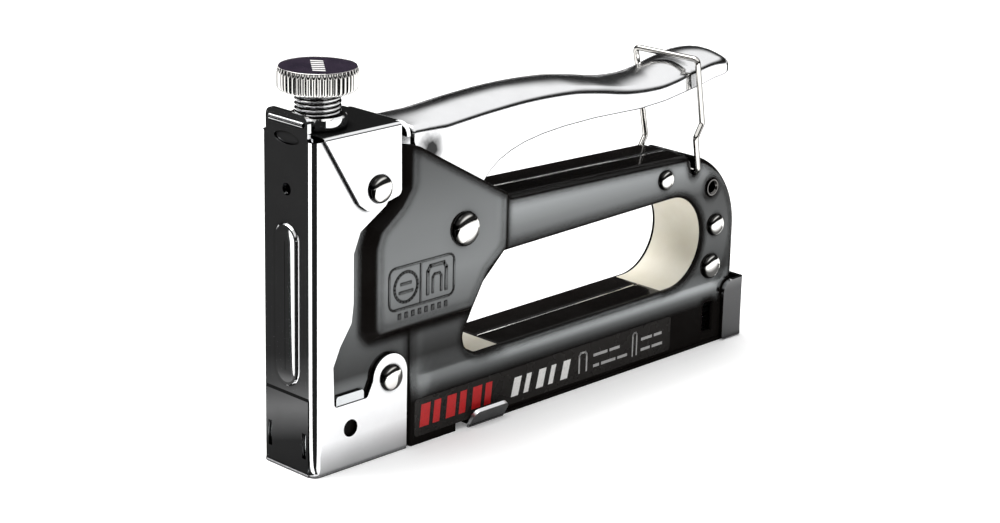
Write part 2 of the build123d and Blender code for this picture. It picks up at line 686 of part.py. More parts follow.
return_spring = coil(
    (NOSE_X + PIVOT_X, ARM_HALF + 0.8, PIVOT_Z), (0, 1, 0),
    LEVER_HALF - LEVER_T - ARM_HALF - 1.6, 4, 3.6, 0.5,
)
save(return_spring, "return_spring")

# ---- bail: bent wire over the lever's end ----
BAIL_END_Y = 7.0
BAIL_BEND = 1.4
NEAR_LEG = [(BAIL_X, BAIL_Z), (152.5, 69.2), (155.2, 73.4), (151.6, BAIL_TOP)]
FAR_LEG = [(BAIL_X, BAIL_Z), (154.0, 61.0), (156.4, 64.8), (150.2, BAIL_TOP)]


def bail_leg(y, outline):
    """One leg of the bail, from its pivot up to its top corner with a small jog between, as points."""
    return [(NOSE_X + x, y, z) for x, z in outline]


with BuildPart() as bail:
    near_leg = bail_leg(-BAIL_HALF, NEAR_LEG)
    far_leg = bail_leg(BAIL_HALF, FAR_LEG)
    near_end = (NOSE_X + BAIL_X, -BAIL_END_Y, BAIL_Z)
    far_end = (NOSE_X + BAIL_X, BAIL_END_Y, BAIL_Z)
    with BuildLine():
        wire = FilletPolyline(near_end, *near_leg, *reversed(far_leg), far_end, radius=BAIL_BEND)
    with BuildSketch(Plane(origin=wire @ 0, z_dir=wire % 0)):
        Circle(BAIL_R)
    sweep(path=wire)
save(bail, "bail")

# ---- fillers between the shells in the hand hole ----
LINER_T = 3.4


def liner(low_x, high_x, low_z, high_z):
    """A filler behind the hand hole's edge, within a box of the side view."""
    half = BODY_Y - SHELL_T - 0.1
    with BuildPart() as filler:
        with BuildSketch(side(-half)):
            add(hole_sketch.sketch_local)
            offset(amount=LINER_T, kind=Kind.ARC)
            add(hole_sketch.sketch_local, mode=Mode.SUBTRACT)
            Polygon(
                (low_x, low_z), (high_x, low_z), (high_x, high_z), (low_x, high_z),
                align=None, mode=Mode.INTERSECT,
            )
        extrude(amount=2 * half)
    return filler


save(liner(BOW_X - 2.9, 172.0, 6.7, 66.5), "rear_liner")
save(liner(45.1, 70.9, 17.1, 30.9), "front_liner")

# ---- magazine: fixed channel, pull-out rail with end cap and tabs, pusher, rod, spring, staples ----
CHANNEL_HALF = 7.0
CHANNEL_T = 0.9
CHANNEL_TOP = 16.8
RAIL_T = 1.0
RAIL_TOP = 12.8
STAPLE_HALF = 5.7
STAPLE_WIRE = 0.75
CROWN_TOP = 14.3
PUSHER_LENGTH = 9.0

with BuildPart() as magazine_channel:
    with BuildSketch(across(3.6)):
        with Locations((0, 2.0)):
            Rectangle(2 * CHANNEL_HALF, CHANNEL_TOP - 2.0, align=(Align.CENTER, Align.MIN))
        with Locations((0, 1.0)):
            Rectangle(
                2 * (CHANNEL_HALF - CHANNEL_T), CHANNEL_TOP - CHANNEL_T - 1.0,
                align=(Align.CENTER, Align.MIN), mode=Mode.SUBTRACT,
            )
    extrude(amount=165)
save(magazine_channel, "magazine_channel")

CAP_T = 1.2
CAP_HALF = LOWER_Y + 0.15 + CAP_T
CAP_FRONT = 169.4
CAP_HIGH = 19.6

with BuildPart() as end_cap:
    with BuildSketch(level(0.2)) as cap_plan:
        with Locations((CAP_FRONT, 0)):
            Rectangle(CAP_REAR - CAP_FRONT, 2 * CAP_HALF, align=(Align.MIN, Align.CENTER))
        fillet(cap_plan.vertices().group_by(Axis.X)[-1], 1.8)
    extrude(amount=CAP_HIGH - 0.2)
    with BuildSketch(level(-1)):
        with Locations((CAP_FRONT - 1, 0)):
            Rectangle(CAP_REAR - CAP_T - CAP_FRONT + 1, 2 * (CAP_HALF - CAP_T), align=(Align.MIN, Align.CENTER))
    extrude(amount=30, mode=Mode.SUBTRACT)
    wing_corners = end_cap.edges().filter_by(Axis.Y).group_by(Axis.X)[0].group_by(Axis.Z)
    fillet(wing_corners[-1], 4.0)
    fillet(wing_corners[0], 1.5)
save(end_cap, "end_cap")

with BuildPart() as slide_plate:
    with BuildSketch(level(0)):
        with Locations((SLIDE_FRONT, 0)):
            Rectangle(CAP_REAR - CAP_T - SLIDE_FRONT, 2 * (LOWER_Y - 0.1), align=(Align.MIN, Align.CENTER))
    extrude(amount=SLIDE_T)
save(slide_plate, "slide_plate")

with BuildPart() as side_tabs:
    with BuildSketch(across(57.8)):
        edge = LOWER_Y - 0.1
        Polygon(
            (-edge, 0), (-edge - 0.7, 0), (-14.4, 5.2), (-13.5, 5.8), (-edge - 0.3, SLIDE_T), (-edge, SLIDE_T),
            align=None,
        )
    extrude(amount=14.0)
    tip = side_tabs.edges().filter_by(lambda e: e.center().Y < -13 and abs(e.tangent_at(0).X) < 0.1)
    fillet(tip, 2.2)
    mirror(about=Plane.XZ)
save(side_tabs, "side_tabs")

RAIL_FRONT = 5.0
RAIL_REAR = CAP_REAR - CAP_T

with BuildPart() as staple_rail:
    with BuildSketch(across(RAIL_FRONT)):
        with Locations((0, SLIDE_T)):
            Rectangle(2 * RAIL_HALF, RAIL_TOP - SLIDE_T, align=(Align.CENTER, Align.MIN))
    extrude(amount=RAIL_REAR - RAIL_FRONT)
    with BuildSketch(across(RAIL_FRONT + RAIL_T)):
        with Locations((0, SLIDE_T + RAIL_T)):
            Rectangle(2 * (RAIL_HALF - RAIL_T), 20, align=(Align.CENTER, Align.MIN))
    extrude(amount=RAIL_REAR - RAIL_FRONT, mode=Mode.SUBTRACT)
    with BuildSketch(across(RAIL_FRONT - 1)):
        with Locations((0, ROD_Z)):
            Circle(ROD_R + RUNNING)
    extrude(amount=3, mode=Mode.SUBTRACT)
save(staple_rail, "staple_rail")

with BuildPart() as pusher_rod:
    with BuildSketch(across(RAIL_FRONT)):
        with Locations((0, ROD_Z)):
            Circle(ROD_R)
    extrude(amount=RAIL_REAR - RAIL_FRONT)
save(pusher_rod, "pusher_rod")

with BuildPart() as pusher:
    with BuildSketch(across(STRIP_REAR + 0.2)):
        with Locations((0, 3.0)):
            Rectangle(2 * STAPLE_HALF, CROWN_TOP + 0.4 - 3.0, align=(Align.CENTER, Align.MIN))
        for turn in (-1, 1):
            with Locations((turn * RAIL_HALF - turn * RAIL_T / 2, 3.0)):
                Rectangle(RAIL_T + 0.5, 2 * (RAIL_TOP + 0.3 - 3.0), mode=Mode.SUBTRACT)
        with Locations((0, ROD_Z)):
            Circle(ROD_R + RUNNING, mode=Mode.SUBTRACT)
    extrude(amount=PUSHER_LENGTH)
save(pusher, "pusher")

SPRING_FRONT = STRIP_REAR + 0.2 + PUSHER_LENGTH

pusher_spring = coil(
    (NOSE_X + SPRING_FRONT + 0.6, 0, ROD_Z), (1, 0, 0), RAIL_REAR - SPRING_FRONT - 1.2, 24, 2.3, 0.35,
)
save(pusher_spring, "pusher_spring")

with BuildPart() as staple_strip:
    with BuildSketch(across(3.7)):
        with Locations((0, 0.6)):
            Rectangle(2 * STAPLE_HALF, CROWN_TOP - 0.6, align=(Align.CENTER, Align.MIN))
        with Locations((0, 0)):
            Rectangle(
                2 * (STAPLE_HALF - STAPLE_WIRE), CROWN_TOP - STAPLE_WIRE,
                align=(Align.CENTER, Align.MIN), mode=Mode.SUBTRACT,
            )
    extrude(amount=STRIP_REAR - 3.7)
save(staple_strip, "staple_strip")

LABEL_T = 0.1

with BuildPart() as side_labels:
    with BuildSketch(side(LOWER_Y)) as label:
        with Locations((37.0, 2.4)):
            Rectangle(108.6, 11.0, align=Align.MIN)
        fillet(label.vertices(), 1.0)
    extrude(amount=LABEL_T)
    mirror(about=Plane.XZ)
save(side_labels, "side_labels")
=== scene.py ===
import json
import math

import bpy
from mathutils import Matrix, Vector


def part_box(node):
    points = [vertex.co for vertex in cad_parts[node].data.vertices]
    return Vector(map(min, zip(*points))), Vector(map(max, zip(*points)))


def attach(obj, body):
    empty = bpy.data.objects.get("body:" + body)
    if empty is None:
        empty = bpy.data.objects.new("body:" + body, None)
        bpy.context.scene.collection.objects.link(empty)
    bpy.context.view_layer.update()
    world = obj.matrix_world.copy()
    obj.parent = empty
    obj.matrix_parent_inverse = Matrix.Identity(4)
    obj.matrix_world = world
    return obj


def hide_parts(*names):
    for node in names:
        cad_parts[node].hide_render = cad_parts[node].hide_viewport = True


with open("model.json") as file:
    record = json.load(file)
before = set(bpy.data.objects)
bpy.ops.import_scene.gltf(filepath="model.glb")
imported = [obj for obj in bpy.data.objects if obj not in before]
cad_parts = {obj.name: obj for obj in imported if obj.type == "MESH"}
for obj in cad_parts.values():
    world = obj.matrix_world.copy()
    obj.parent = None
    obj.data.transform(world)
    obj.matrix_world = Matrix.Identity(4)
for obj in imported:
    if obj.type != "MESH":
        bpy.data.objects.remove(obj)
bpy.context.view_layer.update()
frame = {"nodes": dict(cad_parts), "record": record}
nodes = frame["nodes"]

MM = 0.001
LEVER_HALF = 9.7                 # half the lever's width, mm


# ---- camera, ahead of the nose, to its right and a little above ----
LENS = 88.58                     # mm
SENSOR = 36.0                    # mm
EYE = Vector((-494.42, -475.68, 260.27)) * MM
AZIMUTH = math.radians(45.61)
PITCH = math.radians(17.78)
ROLL = math.radians(-1.31)


def camera():
    """The camera, from its place, azimuth, pitch and roll."""
    data = bpy.data.cameras.new("camera")
    data.lens = LENS
    data.sensor_width = SENSOR
    data.clip_start = 0.01
    data.clip_end = 20
    eye = bpy.data.objects.new("camera", data)
    ahead = Vector((math.sin(AZIMUTH), math.cos(AZIMUTH), 0)) * math.cos(PITCH)
    ahead.z = -math.sin(PITCH)
    level_right = ahead.cross(Vector((0, 0, 1))).normalized()
    level_down = ahead.cross(level_right)
    right = level_right * math.cos(ROLL) + level_down * math.sin(ROLL)
    up = level_right * math.sin(ROLL) - level_down * math.cos(ROLL)
    turn = Matrix((right, up, -ahead)).transposed()
    eye.matrix_world = Matrix.Translation(EYE) @ turn.to_4x4()
    bpy.context.scene.collection.objects.link(eye)
    bpy.context.scene.camera = eye


# ---- node material helpers ----
def new_material(name):
    """An empty node material with a Principled shader, as (material, tree, shader)."""
    material = bpy.data.materials.new(name)
    material.use_nodes = True
    tree = material.node_tree
    shader = tree.nodes["Principled BSDF"]
    return material, tree, shader


def feed(tree, value, socket):
    """Links an output to a socket, or sets the socket to a plain number or colour."""
    if isinstance(value, bpy.types.NodeSocket):
        tree.links.new(value, socket)
    elif isinstance(value, tuple):
        socket.default_value = (*value, 1)
    else:
        socket.default_value = value


def own_place(tree):
    """The object's own coordinates, in metres."""
    return tree.nodes.new("ShaderNodeTexCoord").outputs["Object"]


def place(tree, scale, stretch=(1, 1, 1)):
    """The object's own coordinates scaled to cycles per metre."""
    mapping = tree.nodes.new("ShaderNodeMapping")
    mapping.inputs["Scale"].default_value = [scale * part for part in stretch]
    tree.links.new(own_place(tree), mapping.inputs["Vector"])
    return mapping.outputs["Vector"]


def split(tree, vector):
    """The X, Y and Z outputs of a vector."""
    node = tree.nodes.new("ShaderNodeSeparateXYZ")
    tree.links.new(vector, node.inputs["Vector"])
    return node.outputs["X"], node.outputs["Y"], node.outputs["Z"]


def calculate(tree, operation, *values):
    """The result of a maths node on outputs or plain numbers."""
    node = tree.nodes.new("ShaderNodeMath")
    node.operation = operation
    for value, socket in zip(values, node.inputs):
        feed(tree, value, socket)
    return node.outputs["Value"]


def share_of(tree, value, low, high, step="LINEAR"):
    """How far value is on the way from low to high, from 0 to 1."""
    node = tree.nodes.new("ShaderNodeMapRange")
    node.interpolation_type = step
    node.inputs["From Min"].default_value = low
    node.inputs["From Max"].default_value = high
    tree.links.new(value, node.inputs["Value"])
    return node.outputs["Result"]


def distance_to(tree, point):
    """Distance in metres from the object's own coordinates to a point."""
    node = tree.nodes.new("ShaderNodeVectorMath")
    node.operation = "DISTANCE"
    node.inputs[1].default_value = point
    tree.links.new(own_place(tree), node.inputs[0])
    return node.outputs["Value"]


def noise(tree, scale, detail, roughness, stretch=(1, 1, 1)):
    """Fractal noise with about scale blobs per metre."""
    texture = tree.nodes.new("ShaderNodeTexNoise")
    texture.inputs["Scale"].default_value = 1.0
    texture.inputs["Detail"].default_value = detail
    texture.inputs["Roughness"].default_value = roughness
    tree.links.new(place(tree, scale, stretch), texture.inputs["Vector"])
    return texture.outputs["Fac"]


def ramp(tree, value, *stops):
    """value through a colour ramp; each stop is (position, grey or colour)."""
    node = tree.nodes.new("ShaderNodeValToRGB")
    elements = node.color_ramp.elements
    while len(elements) < len(stops):
        elements.new(0.5)
    for element, (position, colour) in zip(elements, stops):
        element.position = position
        element.color = (*colour, 1) if isinstance(colour, tuple) else (colour, colour, colour, 1)
    tree.links.new(value, node.inputs["Fac"])
    return node.outputs["Color"]


def mix(tree, factor, first, second, blend="MIX"):
    """Two colours mixed by a factor; each of the three is an output or a plain value."""
    node = tree.nodes.new("ShaderNodeMix")
    node.data_type = "RGBA"
    node.blend_type = blend
    feed(tree, factor, node.inputs[0])
    feed(tree, first, node.inputs[6])
    feed(tree, second, node.inputs[7])
    return node.outputs[2]


def times(tree, first, second):
    """Two colour outputs multiplied."""
    return mix(tree, 1.0, first, second, "MULTIPLY")


def bend_radius(tree, radius):
    """The normal of a surface whose edges are rounded to a radius in metres."""
    node = tree.nodes.new("ShaderNodeBevel")
    node.samples = 12
    node.inputs["Radius"].default_value = radius
    return node.outputs["Normal"]


def add_bump(tree, shader, *layers, normal=None):
    """Stacked bump layers over a normal, each (height output, distance in metres)."""
    for height, distance in layers:
        bump = tree.nodes.new("ShaderNodeBump")
        bump.inputs["Strength"].default_value = 1.0
        bump.inputs["Distance"].default_value = distance
        tree.links.new(height, bump.inputs["Height"])
        if normal:
            tree.links.new(normal, bump.inputs["Normal"])
        normal = bump.outputs["Normal"]
    tree.links.new(normal, shader.inputs["Normal"])


def openness(tree, distance, depth, low, high):
    """1 on open surfaces, falling to depth where other surfaces stand within distance."""
    occlusion = tree.nodes.new("ShaderNodeAmbientOcclusion")
    occlusion.samples = 8
    occlusion.inputs["Distance"].default_value = distance
    return ramp(tree, occlusion.outputs["AO"], (low, depth), (high, 1.0))


def shade_in_crevices(tree, colour, distance, depth, low, high):
    """A colour output with painted shade: darkened to depth where other surfaces stand within distance."""
    return times(tree, colour, openness(tree, distance, depth, low, high))


def painted_dark_rim(tree, colour, start, end, depth):
    """A colour output with a painted dark reflection: darkened to depth where the surface turns away, from
    start to end of its tilt.
    """
    weight = tree.nodes.new("ShaderNodeLayerWeight")
    weight.inputs["Blend"].default_value = 0.5
    rim = ramp(tree, weight.outputs["Facing"], (start, 1.0), (end, depth))
    return times(tree, colour, rim)


def sideways(tree, normal):
    """How squarely a normal points to either side of the gun: 1 on its flanks, 0 on its top and ends."""
    return calculate(tree, "ABSOLUTE", split(tree, normal)[1])


def chrome(
    name, wave=40e-6, tint=(0.90, 0.905, 0.915), crevice=0.0022, depth=0.03, reach=(0.5, 0.86),
    rim=None, painted_slope_shade=(), satin=0.0,
):
    """Bright plating: faint pressed-sheet waviness, polishing haze, smudges, hairlines and painted shade in
    its crevices.
    rim is (start, end, depth) of a painted dark reflection along its outline, painted_slope_shade is stops of
    (how squarely it points sideways, grey) for painted shade by tilt, and satin is roughness added
    everywhere."""
    material, tree, shader = new_material(name)
    shader.inputs["Metallic"].default_value = 1.0
    smudges = ramp(tree, noise(tree, 90, 5, 0.62), (0.35, 0.0), (0.72, 1.0))
    dull = tuple(part * 0.93 for part in tint)
    # painted shade: the plating is darkened in crevices, where other surfaces stand close
    plating = shade_in_crevices(tree, mix(tree, smudges, tint, dull), crevice, depth, *reach)
    # painted dark reflection along the outline, where the surface turns away
    if rim:
        plating = painted_dark_rim(tree, plating, *rim)
    # painted shade by tilt: darker where the surface does not point sideways
    if painted_slope_shade:
        normal = tree.nodes.new("ShaderNodeNewGeometry").outputs["Normal"]
        plating = times(tree, plating, ramp(tree, sideways(tree, normal), *painted_slope_shade))
    tree.links.new(plating, shader.inputs["Base Color"])
    haze = ramp(
        tree, noise(tree, 160, 6, 0.7),
        (0.3, 0.035 + satin), (0.62, 0.07 + satin), (0.85, 0.16 + satin),
    )
    tree.links.new(haze, shader.inputs["Roughness"])
    hairlines = noise(tree, 900, 2, 0.4, (0.08, 1.0, 1.6))
    add_bump(tree, shader, (noise(tree, 55, 1, 0.3), wave), (hairlines, 0.8e-6))
    return material


def off_bends(tree, radius, low, high, depth):
    """1 on the broad side faces, falling to depth within about half a radius of their edges and bends."""
    return ramp(tree, sideways(tree, bend_radius(tree, radius)), (low, depth), (high, 1.0))


SHOULDER_PAINTED_REFLECTION = (-0.04, 0.03)   # the painted dark reflection along the far shoulder, from and to along the gun, metres
CAP_PAINTED_REFLECTION = (-0.0465, -LEVER_HALF * MM, 0.0846)   # middle of the painted dark reflection on the lever's side, metres


def lever_plating_painted_reflections():
    """The lever's bright plating, with painted dark reflections fixed in its colour along its far shoulder
    and beside the cap.
    """
    material = chrome("chrome_lever_painted_reflections", wave=90e-6, satin=0.10)
    tree = material.node_tree
    shader = tree.nodes["Principled BSDF"]
    plating = shader.inputs["Base Color"].links[0].from_socket
    x, y, z = split(tree, own_place(tree))
    # painted reflection: a dark band along the lever's far shoulder
    lengthwise = share_of(tree, x, *SHOULDER_PAINTED_REFLECTION)
    ends = ramp(tree, lengthwise, (0.06, 1.0), (0.18, 0.02), (0.76, 0.02), (0.88, 1.0))
    near_side = ramp(tree, share_of(tree, y, 0.0, LEVER_HALF * MM), (0.20, 1.0), (0.34, 0.0))
    plating = times(tree, plating, calculate(tree, "MAXIMUM", ends, near_side))
    # painted reflection: a ragged dark patch on the lever's side beside the cap
    ragged = noise(tree, 260, 3, 0.5)
    away = calculate(tree, "MULTIPLY_ADD", ragged, 0.004, distance_to(tree, CAP_PAINTED_REFLECTION))
    cap_reflection_shade = ramp(tree, away, (0.0044, 0.04), (0.0058, 1.0))
    tree.links.new(times(tree, plating, cap_reflection_shade), shader.inputs["Base Color"])
    return material


PANEL_EDGE = (-0.024, -0.014)    # from just ahead of the raised panel's rear edge to behind it, where the painted sheen changes and the painted border band lies, metres
TALL = 0.1                       # the height that the enamel's painted sheen bands are shares of, metres


def enamel():
    """Gloss black stoved enamel: orange peel, dust, rubbed patches, with painted shade making it duller in
    the recesses and along the pressed bends, and painted sheen making it glossier in bands along the bridge
    and the shoulder below the hand hole."""
    material, tree, shader = new_material("black_enamel")
    patches = ramp(tree, noise(tree, 45, 4, 0.6), (0.4, 0.0), (0.7, 1.0))
    paint = mix(tree, patches, (0.0055, 0.0045, 0.004), (0.009, 0.008, 0.0075))
    tree.links.new(paint, shader.inputs["Base Color"])
    rough = ramp(tree, noise(tree, 260, 5, 0.7), (0.35, 0.06), (0.8, 0.17))
    tree.links.new(rough, shader.inputs["Roughness"])
    shader.inputs["IOR"].default_value = 2.4
    shader.inputs["Specular Tint"].default_value = (0.93, 0.985, 1.0, 1)
    x, y, z = split(tree, own_place(tree))
    height = share_of(tree, z, 0.0, TALL)
    behind = share_of(tree, x, *PANEL_EDGE)
    # painted sheen: reflection strength in bands by height, over the raised panel and over the bridge
    panel_painted_sheen = ramp(
        tree, height,
        (0.13, 0.01), (0.15, 0.12), (0.18, 0.44), (0.21, 0.46), (0.26, 0.08), (0.36, 0.16), (0.50, 0.38),
        (0.66, 0.32), (0.85, 0.16),
    )
    bridge_painted_sheen = ramp(
        tree, height,
        (0.13, 0.01), (0.15, 0.10), (0.17, 0.36), (0.187, 1.0), (0.21, 1.0), (0.24, 0.20), (0.50, 0.10),
        (0.56, 0.34), (0.61, 0.60),
    )
    # painted shade: a dark band with a thin painted highlight in it, along the border between the panel and
    # the bridge
    painted_border_band = ramp(
        tree, behind,
        (0.40, 1.0), (0.47, 0.06), (0.56, 0.06), (0.60, 0.40), (0.64, 0.06), (0.78, 0.06), (0.84, 1.0),
    )
    below_bridge = ramp(tree, height, (0.43, 1.0), (0.50, 0.0))
    painted_sheen = mix(tree, behind, panel_painted_sheen, bridge_painted_sheen)
    # painted shade: duller where other surfaces stand close
    painted_sheen = times(tree, painted_sheen, openness(tree, 0.005, 0.02, 0.55, 0.93))
    painted_sheen = times(tree, painted_sheen, calculate(tree, "MAXIMUM", painted_border_band, below_bridge))
    # painted dark reflections along the pressed bends and edges
    painted_sheen = times(tree, painted_sheen, off_bends(tree, 0.0045, 0.95, 0.995, 0.02))
    tree.links.new(painted_sheen, shader.inputs["Specular IOR Level"])
    tree.links.new(painted_sheen, shader.inputs["Coat Weight"])
    shader.inputs["Coat Roughness"].default_value = 0.05
    shader.inputs["Coat IOR"].default_value = 1.6
    specks = ramp(tree, noise(tree, 1700, 1, 0.3), (0.78, 0.0), (0.82, 1.0))
    add_bump(
        tree, shader,
        (noise(tree, 38, 1, 0.3), 30e-6), (noise(tree, 300, 1, 0.4), 3e-6), (specks, 2e-6),
        normal=bend_radius(tree, 0.0017),
    )
    return material


def plain_steel():
    """Oiled steel with grain along its length and darker heat-treated clouds."""
    material, tree, shader = new_material("plain_steel")
    shader.inputs["Metallic"].default_value = 1.0
    clouds = ramp(tree, noise(tree, 70, 5, 0.6), (0.35, 0.0), (0.7, 1.0))
    tree.links.new(mix(tree, clouds, (0.54, 0.54, 0.55), (0.36, 0.355, 0.35)), shader.inputs["Base Color"])
    grain = noise(tree, 1500, 3, 0.6, (0.05, 1, 1))
    tree.links.new(ramp(tree, grain, (0.3, 0.22), (0.75, 0.42)), shader.inputs["Roughness"])
    add_bump(tree, shader, (grain, 3e-6))
    return material


def spring_steel():
    """Drawn spring wire, slightly blued, with fine draw marks."""
    material, tree, shader = new_material("spring_steel")
    shader.inputs["Metallic"].default_value = 1.0
    blued = ramp(tree, noise(tree, 220, 4, 0.6), (0.35, 0.0), (0.7, 1.0))
    tree.links.new(mix(tree, blued, (0.44, 0.44, 0.46), (0.24, 0.25, 0.29)), shader.inputs["Base Color"])
    marks = noise(tree, 3000, 2, 0.5)
    tree.links.new(ramp(tree, marks, (0.3, 0.2), (0.75, 0.38)), shader.inputs["Roughness"])
    add_bump(tree, shader, (marks, 2e-6))
    return material


def cream_plastic():
    """Satin ivory plastic: fine moulded grain, faint mottling and handling dirt."""
    material, tree, shader = new_material("cream_plastic")
    mottle = ramp(tree, noise(tree, 60, 5, 0.6), (0.35, 0.0), (0.75, 1.0))
    tree.links.new(mix(tree, mottle, (0.80, 0.765, 0.66), (0.72, 0.675, 0.55)), shader.inputs["Base Color"])
    tree.links.new(ramp(tree, noise(tree, 300, 4, 0.6), (0.3, 0.34), (0.8, 0.55)), shader.inputs["Roughness"])
    shader.inputs["Subsurface Weight"].default_value = 0.12
    shader.inputs["Subsurface Radius"].default_value = (0.002, 0.0014, 0.0008)
    shader.inputs["Subsurface Scale"].default_value = 1.0
    add_bump(tree, shader, (noise(tree, 2600, 2, 0.5), 8e-6), (noise(tree, 130, 2, 0.4), 30e-6))
    return material


def label_film():
    """Black printed film: satin, with a faint weave of print dots and rubbed spots."""
    material, tree, shader = new_material("label_film")
    rubbed = ramp(tree, noise(tree, 60, 3, 0.5), (0.35, 0.0), (0.8, 1.0))
    film = mix(tree, rubbed, (0.020, 0.018, 0.017), (0.026, 0.024, 0.022))
    tree.links.new(film, shader.inputs["Base Color"])
    tree.links.new(ramp(tree, noise(tree, 200, 3, 0.5), (0.3, 0.24), (0.8, 0.32)), shader.inputs["Roughness"])
    shader.inputs["IOR"].default_value = 1.3
    add_bump(tree, shader, (noise(tree, 3200, 1, 0.3), 1e-6))
    return material


def printed(name, colour, worn):
    """Printing ink on film, with slightly starved spots."""
    material, tree, shader = new_material(name)
    starved = ramp(tree, noise(tree, 1600, 4, 0.7), (0.5, 0.0), (0.8, 1.0))
    tree.links.new(mix(tree, starved, colour, worn), shader.inputs["Base Color"])
    tree.links.new(ramp(tree, noise(tree, 700, 3, 0.6), (0.3, 0.3), (0.8, 0.5)), shader.inputs["Roughness"])
    add_bump(tree, shader, (noise(tree, 2500, 1, 0.3), 2e-6))
    return material


def dark_lacquer():
    """Dark glossy lacquer with a faint violet cast and fine swirl marks."""
    material, tree, shader = new_material("dark_disc")
    cast = ramp(tree, noise(tree, 200, 4, 0.6), (0.35, 0.0), (0.7, 1.0))
    tree.links.new(mix(tree, cast, (0.022, 0.016, 0.030), (0.040, 0.028, 0.048)), shader.inputs["Base Color"])
    tree.links.new(ramp(tree, noise(tree, 900, 4, 0.6), (0.3, 0.10), (0.8, 0.24)), shader.inputs["Roughness"])
    shader.inputs["Coat Weight"].default_value = 0.6
    add_bump(tree, shader, (noise(tree, 500, 2, 0.4), 5e-6))
    return material


def rubber():
    """Matt moulded rubber with a bloomed surface."""
    material, tree, shader = new_material("rubber")
    bloom = ramp(tree, noise(tree, 300, 5, 0.7), (0.35, 0.0), (0.75, 1.0))
    rubbery = mix(tree, bloom, (0.022, 0.022, 0.022), (0.055, 0.054, 0.052))
    tree.links.new(rubbery, shader.inputs["Base Color"])
    shader.inputs["Roughness"].default_value = 0.75
    add_bump(tree, shader, (noise(tree, 1800, 3, 0.6), 20e-6))
    return material


WIRES = 66.7                     # cycles of the staple strip's ribs per metre


def staple_wire():
    """A glued strip of zinc-plated flat wires: fine ribs along the strip, dull glue between."""
    material, tree, shader = new_material("staple_wire")
    shader.inputs["Metallic"].default_value = 1.0
    ribs = tree.nodes.new("ShaderNodeTexWave")
    ribs.wave_type = "BANDS"
    ribs.bands_direction = "X"
    ribs.inputs["Scale"].default_value = 1.0
    ribs.inputs["Distortion"].default_value = 0.0
    tree.links.new(place(tree, WIRES), ribs.inputs["Vector"])
    zinc = mix(tree, ribs.outputs["Fac"], (0.42, 0.41, 0.40), (0.70, 0.70, 0.71))
    tree.links.new(zinc, shader.inputs["Base Color"])
    tree.links.new(ramp(tree, noise(tree, 900, 3, 0.6), (0.3, 0.25), (0.8, 0.45)), shader.inputs["Roughness"])
    add_bump(tree, shader, (ribs.outputs["Fac"], 60e-6))
    return material


# ---- floor, light and surroundings ----
FLOOR_REACH = 6.0                # metres from the middle to each side


def floor():
    """A plain pale floor with the faintest mottling."""
    material, tree, shader = new_material("floor")
    patchy = ramp(tree, noise(tree, 6, 3, 0.5), (0.3, 0.0), (0.7, 1.0))
    tree.links.new(mix(tree, patchy, (0.97, 0.97, 0.97), (0.955, 0.955, 0.955)), shader.inputs["Base Color"])
    shader.inputs["Roughness"].default_value = 0.85
    shader.inputs["Specular IOR Level"].default_value = 0.2
    shader.inputs["Emission Color"].default_value = (1, 1, 1, 1)
    shader.inputs["Emission Strength"].default_value = 0.15
    mesh = bpy.data.meshes.new("floor")
    corners = [(FLOOR_REACH * x, FLOOR_REACH * y, 0) for x, y in ((-1, -1), (1, -1), (1, 1), (-1, 1))]
    mesh.from_pydata(corners, [], [(0, 1, 2, 3)])
    ground = bpy.data.objects.new("floor", mesh)
    mesh.materials.append(material)
    bpy.context.scene.collection.objects.link(ground)


def toward(tree, direction, low, high):
    """1 where the sky's direction is nearer than high to a unit direction, 0 beyond low."""
    dot = tree.nodes.new("ShaderNodeVectorMath")
    dot.operation = "DOT_PRODUCT"
    dot.inputs[1].default_value = direction
    coordinates = tree.nodes.new("ShaderNodeTexCoord")
    tree.links.new(coordinates.outputs["Generated"], dot.inputs[0])
    return share_of(tree, dot.outputs["Value"], low, high, "SMOOTHSTEP")


def surroundings():
    """Polished metal's surroundings: white overhead and below, with a dark horizon all round."""
    world = bpy.data.worlds.new("studio")
    bpy.context.scene.world = world
    world.use_nodes = True
    tree = world.node_tree
    overhead = toward(tree, (0, 0, 1), 0.32, 0.56)
    below = toward(tree, (0, 0, -1), 0.0, 0.02)
    sky = ramp(tree, calculate(tree, "MAXIMUM", overhead, below), (0.0, 0.015), (1.0, 1.0))
    path = tree.nodes.new("ShaderNodeLightPath")
    background = tree.nodes["Background"]
    background.inputs["Strength"].default_value = 1.0
    backdrop = mix(tree, path.outputs["Is Camera Ray"], sky, (1, 1, 1))
    tree.links.new(backdrop, background.inputs["Color"])


def soft_light(name, spot, aim, size, power):
    """A rectangular area light at a spot, turned to its aim."""
    data = bpy.data.lights.new(name, "AREA")
    data.shape = "RECTANGLE"
    data.size, data.size_y = size
    data.energy = power
    lamp = bpy.data.objects.new(name, data)
    lamp.location = spot
    lamp.rotation_euler = (Vector(aim) - Vector(spot)).to_track_quat("-Z", "Y").to_euler()
    bpy.context.scene.collection.objects.link(lamp)


FOOT_X = -0.09                   # the front of the nose's foot, metres
FOOT_HALF = 0.0115               # half its width with a little to spare, metres
CARD_LIFT = 0.0005               # cards lie this far above the floor, metres
CARD_REACH = 1.6                 # how far the widest cards spread, metres


